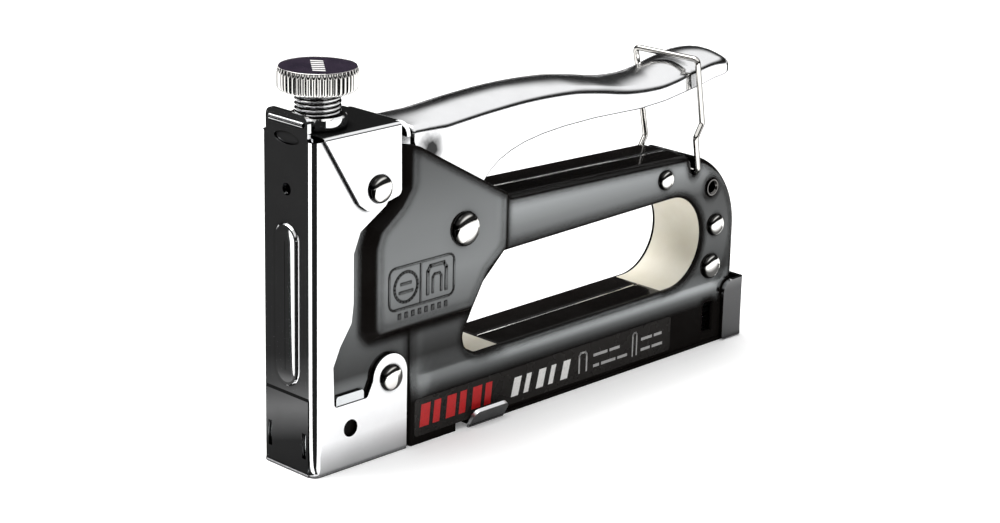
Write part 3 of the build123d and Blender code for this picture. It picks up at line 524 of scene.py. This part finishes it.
def dark_card(name, outline, cover=(), glow=()):
    """A dark card just above the floor, seen by reflections alone. cover is stops of (distance beside the
    middle, cover); glow is stops of (distance from the nose's foot, grey) at which it shines faintly."""
    material, tree, shader = new_material(name)
    shader.inputs["Base Color"].default_value = (0.01, 0.01, 0.01, 1)
    shader.inputs["Roughness"].default_value = 1.0
    shader.inputs["Specular IOR Level"].default_value = 0.0
    if glow:
        shine = ramp(tree, distance_to(tree, (FOOT_X, 0, 0)), *glow)
        tree.links.new(shine, shader.inputs["Emission Color"])
        shader.inputs["Emission Strength"].default_value = 1.0
    if cover:
        beside = calculate(tree, "ABSOLUTE", split(tree, own_place(tree))[1])
        tree.links.new(ramp(tree, beside, *cover), shader.inputs["Alpha"])
    mesh = bpy.data.meshes.new(name)
    mesh.from_pydata([(x, y, CARD_LIFT) for x, y in outline], [], [tuple(range(len(outline)))])
    mesh.materials.append(material)
    card = bpy.data.objects.new(name, mesh)
    card.visible_camera = False
    card.visible_diffuse = False
    card.visible_shadow = False
    bpy.context.scene.collection.objects.link(card)


def arc(across, up, radius, start, end, steps):
    """Points (across, up) along an arc between two angles in degrees."""
    turns = [math.radians(start + (end - start) * step / steps) for step in range(steps + 1)]
    return [(across + radius * math.cos(turn), up + radius * math.sin(turn)) for turn in turns]


def wedge(foot, start, end):
    """Outline on the floor that spreads from a short line between two directions in degrees from +X."""
    return foot + arc(*foot[-1], CARD_REACH, start, end, 8)


camera()
floor()
surroundings()
soft_light("overhead", (-0.3, 0.5, 1.5), (0, 0, 0), (1.6, 1.4), 30)
near_corner = (FOOT_X - 0.0001, -FOOT_HALF)
far_corner = (FOOT_X - 0.0001, FOOT_HALF)
dark_card(
    "left_card", wedge([near_corner, far_corner], 104, 139),
    glow=((0.0, 0.008), (0.02, 0.012), (0.045, 0.17), (0.065, 0.06), (0.09, 0.012)),
)
dark_card("front_card", wedge([near_corner, (-0.088, -0.0125)], 186, 262))
dark_card("back_card", [(0.13, 0.02), (CARD_REACH, 0.02), (CARD_REACH, 1.2), (0.13, 1.2)])
dark_card(
    "side_card", [(-0.053, -0.0105), (0.17, -0.0105), (0.20, -0.09), (0.028, -0.09)],
    cover=((0.0, 0.92), (0.045, 0.9), (0.085, 0.0)),
)
dark_card(
    "cheek_card", [(-0.089, -0.0105), (-0.0535, -0.0105), (-0.0131, -0.05), (-0.049, -0.05)],
    cover=((0.0, 0.72), (0.0115, 0.62), (0.018, 0.42), (0.027, 0.0)),
)

view = bpy.context.scene.view_settings
view.view_transform = "Standard"
view.look = "None"

# ---- materials of the record's slots ----
finish_of = {
    "chrome": chrome("chrome"),
    "plain_steel": plain_steel(),
    "spring_steel": spring_steel(),
    "black_enamel": enamel(),
    "cream_plastic": cream_plastic(),
    "label_film": label_film(),
    "dark_disc": dark_lacquer(),
    "rubber": rubber(),
    "staple_wire": staple_wire(),
}
slot_of = {row["node"]: row["material_slot"] for row in frame["record"]["subparts"]}
# painted shade: the domed heads go dark where they turn away from the side, a dark ring round each bright
# crown
domed = chrome("chrome_domed_painted_shade", tint=(0.88, 0.865, 0.83), painted_slope_shade=((0.50, 0.02), (0.72, 0.07), (0.86, 1.0)))
lug_chrome = chrome("chrome_lugs", wave=160e-6, tint=(0.66, 0.68, 0.69), crevice=0.0002, satin=0.12)
# each chrome here has painted shade darkening its crevices, where other surfaces stand close
finish_of_node = {
    "pivot_pin": domed,
    "cap_rivet": domed,
    "ear_rivet": domed,
    "rear_rivets": domed,
    # the bail's wire has a painted dark reflection along its outline
    "bail": chrome("chrome_wire_painted_rim", tint=(0.86, 0.84, 0.80), rim=(0.12, 0.55, 0.04)),
    # stronger painted shade on the nose cover, darkening the outline round the flap
    "nose_cover": chrome("chrome_cover", crevice=0.0016, depth=0.02, reach=(0.66, 0.92)),
    "top_cap": chrome("chrome_cap", crevice=0.004),
    "side_tabs": chrome("chrome_tabs", crevice=0.0015, satin=0.24),
    "notch_lugs": lug_chrome,
    "hollow_pin": chrome("pin_end", tint=(0.13, 0.125, 0.12)),
    "end_cap": chrome("chrome_end", tint=(0.80, 0.80, 0.81), crevice=0.003),
}
for node, piece in nodes.items():
    piece.data.materials.clear()
    piece.data.materials.append(finish_of_node.get(node, finish_of[slot_of[node]]))


# ---- pieces drawn finer than the CAD, in mm ----
RIB_HEIGHT = 0.6                 # the CAD rib on the nose's front plate
nose_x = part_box("nose_cover")[0][0] / MM + RIB_HEIGHT     # the nose's front face


def to_row(x, y, z):
    """A point given in mm as (behind the nose's front face, across, up), in the row frame in metres."""
    return ((nose_x + x) * MM, y * MM, z * MM)


def piece_from(name, points, faces, material, body, smooth=True):
    """A mesh piece that rides a body."""
    mesh = bpy.data.meshes.new(name)
    mesh.from_pydata([to_row(*point) for point in points], [], faces)
    mesh.update()
    mesh.materials.append(material)
    for face in mesh.polygons:
        face.use_smooth = smooth
    piece = bpy.data.objects.new(name, mesh)
    bpy.context.scene.collection.objects.link(piece)
    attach(piece, body)
    return piece


def round_part(node):
    """An upright round node's (middle, radius, low end, high end) in mm; middle counts from the nose."""
    (x0, y0, z0), (x1, y1, z1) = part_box(node)
    return (x0 + x1) / 2 / MM - nose_x, (x1 - x0) / 2 / MM, z0 / MM, z1 / MM


def tube(rows, around, flipped=False):
    """Quads between rows of points that each go once around."""
    faces = []
    for row in range(rows - 1):
        for n in range(around):
            a, b = row * around + n, row * around + (n + 1) % around
            faces.append((b, a, a + around, b + around) if flipped else (a, b, b + around, a + around))
    return faces


def along(points, x):
    """Height of a smooth curve through (x, height) points at x."""
    last = len(points) - 1
    here = max(1, min(last, next((n for n, point in enumerate(points) if point[0] >= x), last)))
    before, after = max(0, here - 2), min(last, here + 1)
    (x0, z0), (x1, z1) = points[here - 1], points[here]
    slope0 = (z1 - points[before][1]) / (x1 - points[before][0])
    slope1 = (points[after][1] - z0) / (points[after][0] - x0)
    t = (x - x0) / (x1 - x0)
    span = x1 - x0
    return (
        (2 * t**3 - 3 * t**2 + 1) * z0 + (t**3 - 2 * t**2 + t) * span * slope0
        + (3 * t**2 - 2 * t**3) * z1 + (t**3 - t**2) * span * slope1
    )


def straight(points, x):
    """Height of a chain of straight lines through (x, height) points at x."""
    for (x0, z0), (x1, z1) in zip(points, points[1:]):
        if x <= x1:
            return z0 + (z1 - z0) * (x - x0) / (x1 - x0)
    return points[-1][1]


LEVER_SHEET = 1.3
LEVER_FRONT = 36.6
SPOON = 165.5                    # centre of the lever's rounded end
SHOULDER = 1.8                   # radius of the bend between its top and sides
CROWN = 2.3                      # how far its top rises between the shoulders
CROWN_START, CROWN_RUN = 33.0, 16.0      # it grows from nothing at the start, over the run
BURR = 0.35                      # height of the sheared edge
ROUND_STEPS = 8
CREST = [                        # the top's middle line, (behind the nose, up)
    (36.6, 92.2), (44, 93.0), (55, 93.9), (66, 94.7), (82, 95.3), (99, 94.7), (110, 93.2), (124, 90.8),
    (137, 90.1), (145, 90.9), (151.8, 92.3), (156, 93.0), (161, 93.7), (166, 93.6), (170, 92.2), (173, 90.4),
    (174.8, 88.6), (175.2, 87.4),
]
UNDER = [                        # the sides' lower edge
    (36.6, 84.0), (37.6, 81.0), (46.1, 60.7), (48.3, 55.4), (53.6, 53.3), (58.6, 55.1), (61.1, 60.7),
    (62.0, 68.5), (63.6, 71.6), (66.5, 74.5), (70.0, 76.8), (74.5, 78.7), (80.0, 80.2), (87.2, 81.3),
    (96.0, 82.0), (109.3, 82.3), (128.7, 81.8), (140.0, 82.4),
    (155.0, 84.5), (163.0, 86.0), (169.0, 86.6), (175.2, 87.0),
]


def lever_ring(x, share):
    """The lever's outline across the gun at x, its width and bends scaled by share."""
    half = LEVER_HALF * share
    crest, under = along(CREST, x), straight(UNDER, x)
    radius, crown = SHOULDER * share, CROWN * share * min(1.0, (x - CROWN_START) / CROWN_RUN)
    flat = half - radius
    edge = under + BURR
    near = [(half, under)]
    for step in range(6):
        near.append((half, edge + (crest - crown - radius - edge) * step / 5))
    for step in range(1, ROUND_STEPS + 1):
        turn = math.pi / 2 * (1 - step / ROUND_STEPS)
        y = flat + radius * math.sin(turn)
        near.append((y, crest - crown * (y / half) ** 2 - radius * (1 - math.cos(turn))))
    for step in range(1, 6):
        y = flat * (1 - step / 5)
        near.append((y, crest - crown * (y / half) ** 2))
    return [(-y, z) for y, z in near] + list(reversed(near[:-1]))


def lever():
    """The pressed lever: a crowned channel with rounded shoulders, closing in a domed, rounded end."""
    count, end_steps = 110, 12
    stations = [(LEVER_FRONT + (SPOON - LEVER_FRONT) * step / count, 1.0) for step in range(count + 1)]
    for step in range(1, end_steps + 1):
        turn = math.pi / 2 * step / end_steps
        stations.append((SPOON + LEVER_HALF * math.sin(turn), max(math.cos(turn), 0.02)))
    rings, points = [], []
    for x, share in stations:
        ring = lever_ring(x, share)
        rings.append([len(points) + n for n in range(len(ring))])
        points += [(x, y, z) for y, z in ring]
    faces = []
    for first, second in zip(rings, rings[1:]):
        for n in range(len(first) - 1):
            faces.append((first[n], second[n], second[n + 1], first[n + 1]))
    piece = piece_from("lever_pressing", points, faces, lever_chrome_painted_reflections, "lever")
    piece.data.materials.append(sheared)
    per_ring = len(rings[0]) - 1
    for n, face in enumerate(piece.data.polygons):
        if n % per_ring in (0, per_ring - 1):
            face.material_index = 1
    sheet = piece.modifiers.new("sheet", "SOLIDIFY")
    sheet.thickness = LEVER_SHEET * MM
    sheet.offset = -1
    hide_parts("lever")


HEAD_RISE = {"pivot_pin": 2.5, "cap_rivet": 2.0, "ear_rivet": 1.8}       # rise of each CAD dome
REAR_HEADS = [                   # (behind the nose, up, radius, rise)
    (141.3, 57.7, 3.1, 1.5), (165.7, 38.8, 3.5, 1.7), (164.2, 25.6, 4.0, 1.9),
]
PROUD = 0.04                     # how far a struck head stands above its CAD dome
STRUCK = [                       # (share of the radius, share of the rise)
    (0.99, 0.0), (0.975, 0.26), (0.94, 0.44), (0.88, 0.58), (0.80, 0.70), (0.70, 0.80), (0.58, 0.875),
    (0.45, 0.93), (0.31, 0.97), (0.16, 0.993), (0.04, 1.0),
]


def struck_head(name, x, z, radius, seat, rise, sign):
    """One rivet head on a side of the gun: a flattened crown that turns down to a steep rim."""
    around = 40
    points = []
    for share, height in STRUCK:
        y = sign * (seat + (rise + PROUD) * height)
        for n in range(around):
            turn = 2 * math.pi * n / around
            points.append((x + radius * share * math.cos(turn), y, z + radius * share * math.sin(turn)))
    faces = tube(len(STRUCK), around)
    faces.append(tuple((len(STRUCK) - 1) * around + n for n in range(around)))
    piece_from(name, points, faces, domed, "frame")


def rivet_heads():
    """Struck heads over every rivet's two domes."""
    heads = []
    for node, rise in HEAD_RISE.items():
        (x0, y0, z0), (x1, y1, z1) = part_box(node)
        middle, up, radius = (x0 + x1) / 2 / MM - nose_x, (z0 + z1) / 2 / MM, (x1 - x0) / 2 / MM
        heads.append((node, middle, up, radius, y1 / MM - rise, rise))
    rear_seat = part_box("rear_rivets")[1][1] / MM - REAR_HEADS[-1][3]
    for n, (x, z, radius, rise) in enumerate(REAR_HEADS):
        heads.append((f"rear_rivet_{n + 1}", x, z, radius, rear_seat, rise))
    for name, *shape in heads:
        for side, sign in (("right", -1), ("left", 1)):
            struck_head(f"{name}_head_{side}", *shape, sign)


SEAMS = {                        # (behind the nose, up) along the painted highlight lines on the shells' edges
    "bridge": [(76, 65.75), (100, 64.93), (125, 64.08), (144, 63.43)],
    "hole": [(72, 21.55), (100, 21.72), (125, 21.9), (140, 22.05)],
}
SEAM_SINK = 0.16                 # how far the edges' middles lie below those heights


def painted_seam_highlights():
    """Thin bright metal strips along the seam on the bridge and below the hand hole: painted highlights on
    the shells' sheet edges.
    """
    around, half, tall = 10, 0.30, 0.26
    for name, path in SEAMS.items():
        points = []
        for x, z in path:
            for n in range(around):
                turn = 2 * math.pi * n / around
                points.append((x, half * math.cos(turn), z - SEAM_SINK + tall * math.sin(turn)))
        faces = tube(len(path), around, flipped=True)
        faces += [tuple(range(around)), tuple(reversed(range(len(points) - around, len(points))))]
        piece_from(f"seam_edge_{name}", points, faces, seam_highlight, "frame")


BEAD_HALF = 4.6                  # half the bead's width
BEAD_ENDS = (24.4, 70.0)         # its lower and upper ends
BEAD_STEPS = 28


def nose_bead():
    """The pressed bead on the nose's front plate, rounded over its rib."""
    low, high = BEAD_ENDS[0] + BEAD_HALF, BEAD_ENDS[1] - BEAD_HALF
    spine = [low + (high - low) * n / 12 for n in range(1, 12)]
    points, faces, rings = [], [], []
    for step in range(BEAD_STEPS + 1):
        share = step / BEAD_STEPS
        reach = BEAD_HALF * (1.03 - 1.015 * share)
        foot = 0.5 - 0.5 * math.cos(math.pi * min(1.0, share / 0.16))
        rise = 0.02 + 0.40 * foot + 0.42 * (1 - (1 - share) ** 2)
        ring = [(reach, z) for z in spine] + arc(0, high, reach, 0, 180, 12)
        ring += [(-reach, z) for z in reversed(spine)] + arc(0, low, reach, 180, 360, 12)
        rings.append([len(points) + n for n in range(len(ring))])
        points += [(-rise, y, z) for y, z in ring]
    for first, second in zip(rings, rings[1:]):
        for n in range(len(first)):
            m = (n + 1) % len(first)
            faces.append((first[m], first[n], second[n], second[m]))
    piece_from("nose_bead", points, faces, finish_of["chrome"], "frame")


TOE_MIDDLES = (-7.0, 7.0)        # the two slots' middles, across the nose
TOE_FOOT, TOE_TALL = 5.3, 6.8
TOE_BOW = 0.25                   # how far a tongue bulges forward halfway up
TOE_FOLD = ((0.72, 0.70), (0.30, 0.42), (-0.20, 0.58), (-0.72, 0.95))     # (across, behind the nose's face)


def toe_tongues():
    """The small tongues of bright sheet inside the two slots at the nose's foot."""
    points, faces = [], []
    rows, wide = 8, len(TOE_FOLD)
    for middle in TOE_MIDDLES:
        base = len(points)
        for row in range(rows + 1):
            bow = TOE_BOW * math.sin(math.pi * row / rows)
            for y, depth in TOE_FOLD:
                points.append((depth - bow, middle + y, TOE_FOOT + TOE_TALL * row / rows))
        for row in range(rows):
            for n in range(wide - 1):
                a = base + wide * row + n
                faces.append((a, a + wide, a + wide + 1, a + 1))
    piece_from("toe_tongues", points, faces, lug_chrome, "frame")


THREAD_PITCH = 1.25
THREAD_DEPTH = 0.75
PLAIN_FOOT, PLAIN_HEAD = 0.6, 0.9        # unthreaded lengths at the screw's lower and upper ends


def thread():
    """The adjusting screw with a true helical thread."""
    middle, crest, low, high = round_part("adjusting_screw")
    around, per_turn = 64, 10
    levels = int((high - low) / THREAD_PITCH * per_turn)
    points = []
    for row in range(levels + 1):
        z = low + (high - low) * row / levels
        threaded = PLAIN_FOOT < z - low < high - low - PLAIN_HEAD
        for n in range(around):
            turn = 2 * math.pi * n / around
            phase = (z / THREAD_PITCH - n / around) % 1.0      # 0.5 is the middle of the crest
            rise = min(1.0, max(0.0, 1.6 - abs(phase - 0.5) * 4.2)) if threaded else 0.0
            radius = crest - THREAD_DEPTH + THREAD_DEPTH * rise
            points.append((middle + radius * math.cos(turn), radius * math.sin(turn), z))
    faces = tube(levels + 1, around)
    faces.append(tuple(reversed(range(around))))
    faces.append(tuple(levels * around + n for n in range(around)))
    piece = piece_from("screw_thread", points, faces, finish_of["chrome"], "knob")
    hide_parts("adjusting_screw")


def slanted(x, z, width, height, slant):
    """Outline of an upright bar leaning back, from its lower left corner."""
    lean = slant * height
    return [(x, z), (x + width, z), (x + width + lean, z + height), (x + lean, z + height)]


def ribbon(path, width):
    """Quads of a line of a given width along a path of (x, z) points."""
    quads = []
    for (x0, z0), (x1, z1) in zip(path, path[1:]):
        span = math.hypot(x1 - x0, z1 - z0)
        ax, az = (x1 - x0) / span * width / 2, (z1 - z0) / span * width / 2
        quads.append([
            (x0 - ax + az, z0 - az - ax), (x1 + ax + az, z1 + az - ax),
            (x1 + ax - az, z1 + az + ax), (x0 - ax - az, z0 - az + ax),
        ])
    return quads


def raised(name, outlines, place_on, height, material, body):
    """Thin printed or pressed shapes with sloping edges; place_on(u, v, w) gives a point in mm."""
    points, faces = [], []
    for outline in outlines:
        base, count = len(points), len(outline)
        mid_u = sum(u for u, v in outline) / count
        mid_v = sum(v for u, v in outline) / count
        inner = []
        for u, v in outline:
            reach = math.hypot(u - mid_u, v - mid_v)
            keep = 1 - min(0.5, height / reach)
            inner.append((mid_u + (u - mid_u) * keep, mid_v + (v - mid_v) * keep))
        points += [place_on(u, v, 0) for u, v in outline]
        points += [place_on(u, v, height) for u, v in inner]
        faces.append(tuple(base + count + n for n in range(count)))
        for n in range(count):
            m = (n + 1) % count
            faces.append((base + n, base + m, base + count + m, base + count + n))
    piece_from(name, points, faces, material, body, smooth=False)


LABEL_Y = 11.0 + 0.012           # the marks' backs, just above the labels
INK = 0.02                       # thickness of printed marks
STAPLE = [(0, 0), (0, 5.2), (0.6, 6.0), (2.6, 6.0), (3.2, 5.2), (3.2, 0)]
NARROW_STAPLE = [(0, 0), (0, 6.6), (0.5, 7.2), (1.3, 7.2), (1.8, 6.6), (1.8, 0)]
RULES = (                        # each block's left end and the lengths in its two rows
    (110.6, ((6.2, 4.6), (2.6, 6.4, 4.4))), (132.0, ((5.0, 3.6), (4.2, 4.8))),
)


def shifted(path, x, z):
    """A path moved by x and z."""
    return [(u + x, v + z) for u, v in path]


def label_marks():
    """Plain marks on both labels: red and white slanted bars, two staple outlines and short rules."""
    red = [slanted(38.9 + 5.1 * n, 4.9, 2.6 if n % 2 else 3.6, 6.7, 0.1) for n in range(6)]
    white = [slanted(75.4 + 5.2 * n, 4.6, 2.0 if n % 2 else 3.0, 5.7, 0.25) for n in range(5)]
    grey = ribbon(shifted(STAPLE, 104.4, 5.0), 0.6) + ribbon(shifted(NARROW_STAPLE, 128.2, 4.6), 0.5)
    for start, lengths in RULES:
        for row, parts in enumerate(lengths):
            x = start
            for length in parts:
                grey.append(slanted(x, 8.6 - 3.4 * row, length, 0.9, 0.0))
                x += length + 0.9
    printing = (
        ("red_bars", red, printed_red), ("white_bars", white, printed_white), ("marks", grey, printed_grey),
    )
    for side, sign in (("right", -1), ("left", 1)):
        def on_label(u, v, w):
            return (u, sign * (LABEL_Y + w), v)
        for name, outlines, material in printing:
            raised(f"label_{name}_{side}", outlines, on_label, INK, material, "frame")


PANEL_Y = 12.9 - 0.02            # the emblem's back, just below the raised panel's face
EMBLEM_RISE = 0.22


def panel_emblem():
    """A plain pressed emblem on both raised panels: a framed ring and staple outlines over a row of bars."""
    left, right, low, high, corner = 25.2, 49.6, 42.6, 54.6, 2.0
    frame_line = arc(right - corner, high - corner, corner, 0, 90, 4)
    frame_line += arc(left + corner, high - corner, corner, 90, 180, 4)
    frame_line += arc(left + corner, low + corner, corner, 180, 270, 4)
    frame_line += arc(right - corner, low + corner, corner, 270, 360, 4)
    frame_line.append(frame_line[0])
    ring = arc(31.4, 48.6, 4.3, 0, 360, 24)
    arch = shifted([(0, 0), (0, 6.4), (0.9, 7.8), (6.1, 7.8), (7.0, 6.4), (7.0, 0)], 39.6, 44.8)
    inner_arch = shifted([(0, 0), (0, 4.4), (0.6, 5.2), (2.6, 5.2), (3.2, 4.4), (3.2, 0)], 41.5, 44.8)
    outlines = ribbon(frame_line, 0.6) + ribbon(ring, 0.8) + ribbon(arch, 1.0) + ribbon(inner_arch, 0.7)
    outlines += ribbon([(29.0, 47.2), (33.8, 47.2)], 0.8) + ribbon([(29.6, 49.6), (33.2, 49.6)], 0.8)
    outlines += ribbon([(36.9, 42.9), (36.9, 54.3)], 0.5)
    outlines += [slanted(28.4 + 2.5 * n, 39.6, 1.3, 1.8, 0.0) for n in range(8)]
    enamelled = finish_of["black_enamel"]
    for side, sign in (("right", -1), ("left", 1)):
        def on_panel(u, v, w):
            return (u, sign * (PANEL_Y + w), v)
        raised(f"panel_emblem_{side}", outlines, on_panel, EMBLEM_RISE, enamelled, "frame")


KNURLS, PER_KNURL = 46, 12
KNURL_DEPTH = 0.62
KNOB_INSIDE = 6.2                # radius where the knob's underside begins


def knurled_knob():
    """The knob's rim with rounded knurls that run out at both ends."""
    middle, radius, low, high = round_part("knob")
    disc = round_part("knob_disc")[1]
    around = KNURLS * PER_KNURL
    profile = [                  # (radius, up, share of the knurls' depth)
        (KNOB_INSIDE, low, 0.0), (radius - 1.3, low, 0.0), (radius - 0.75, low + 0.15, 0.25),
        (radius - 0.3, low + 0.55, 0.7), (radius, low + 1.1, 1.0), (radius, low + 2.6, 1.0),
        (radius, high - 1.7, 1.0), (radius - 0.08, high - 1.1, 0.9), (radius - 0.25, high - 0.65, 0.5),
        (radius - 0.42, high - 0.35, 0.15), (radius - 0.5, high - 0.12, 0.0), (disc + 0.12, high, 0.0),
        (disc + 0.02, high - 0.05, 0.0), (disc + 0.02, high - 0.7, 0.0), (0.05, high - 0.75, 0.0),
    ]
    points = []
    for reach, z, share in profile:
        for n in range(around):
            turn = 2 * math.pi * n / around
            groove = 1 - abs(math.sin(math.pi * n / PER_KNURL)) ** 0.75
            here = reach - KNURL_DEPTH * share * groove
            points.append((middle + here * math.cos(turn), here * math.sin(turn), z))
    faces = tube(len(profile), around)
    faces.append(tuple(reversed(range(around))))
    piece = piece_from("knurled_knob", points, faces, knurl_chrome, "knob")
    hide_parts("knob")


MARKS_TURN = math.radians(52)    # the knob's bars are turned this far from the gun's length


def knob_marks():
    """Light bars printed across the knob's disc."""
    middle, radius, low, high = round_part("knob_disc")
    back = high + 0.008

    def on_disc(u, v, w):
        x = middle + u * math.cos(MARKS_TURN) - v * math.sin(MARKS_TURN)
        return (x, u * math.sin(MARKS_TURN) + v * math.cos(MARKS_TURN), back + w)
    bars = [slanted(-6.6 + 2.2 * n, -1.7, 1.2, 3.4, 0.2) for n in range(6)]
    raised("knob_bars", bars, on_disc, INK, printed_white, "knob")


printed_red = printed("printed_red", (0.56, 0.010, 0.012), (0.36, 0.012, 0.012))
printed_white = printed("printed_white", (0.80, 0.79, 0.77), (0.58, 0.57, 0.56))
printed_grey = printed("printed_grey", (0.42, 0.415, 0.41), (0.27, 0.265, 0.26))
sheared = chrome("sheared_edge", tint=(0.30, 0.30, 0.31))
lever_chrome_painted_reflections = lever_plating_painted_reflections()
# painted shade: the knurls' grooves are darkened where their sides stand close
knurl_chrome = chrome("knurl_chrome", tint=(0.84, 0.825, 0.80), crevice=0.0006, depth=0.02)
# painted highlight: bright metal for the thin highlight lines along the shells' seam edges
seam_highlight = chrome("seam_highlight", tint=(0.70, 0.69, 0.67), crevice=0.0002)
lever()
rivet_heads()
painted_seam_highlights()
nose_bead()
toe_tongues()
thread()
knurled_knob()
label_marks()
panel_emblem()
knob_marks()
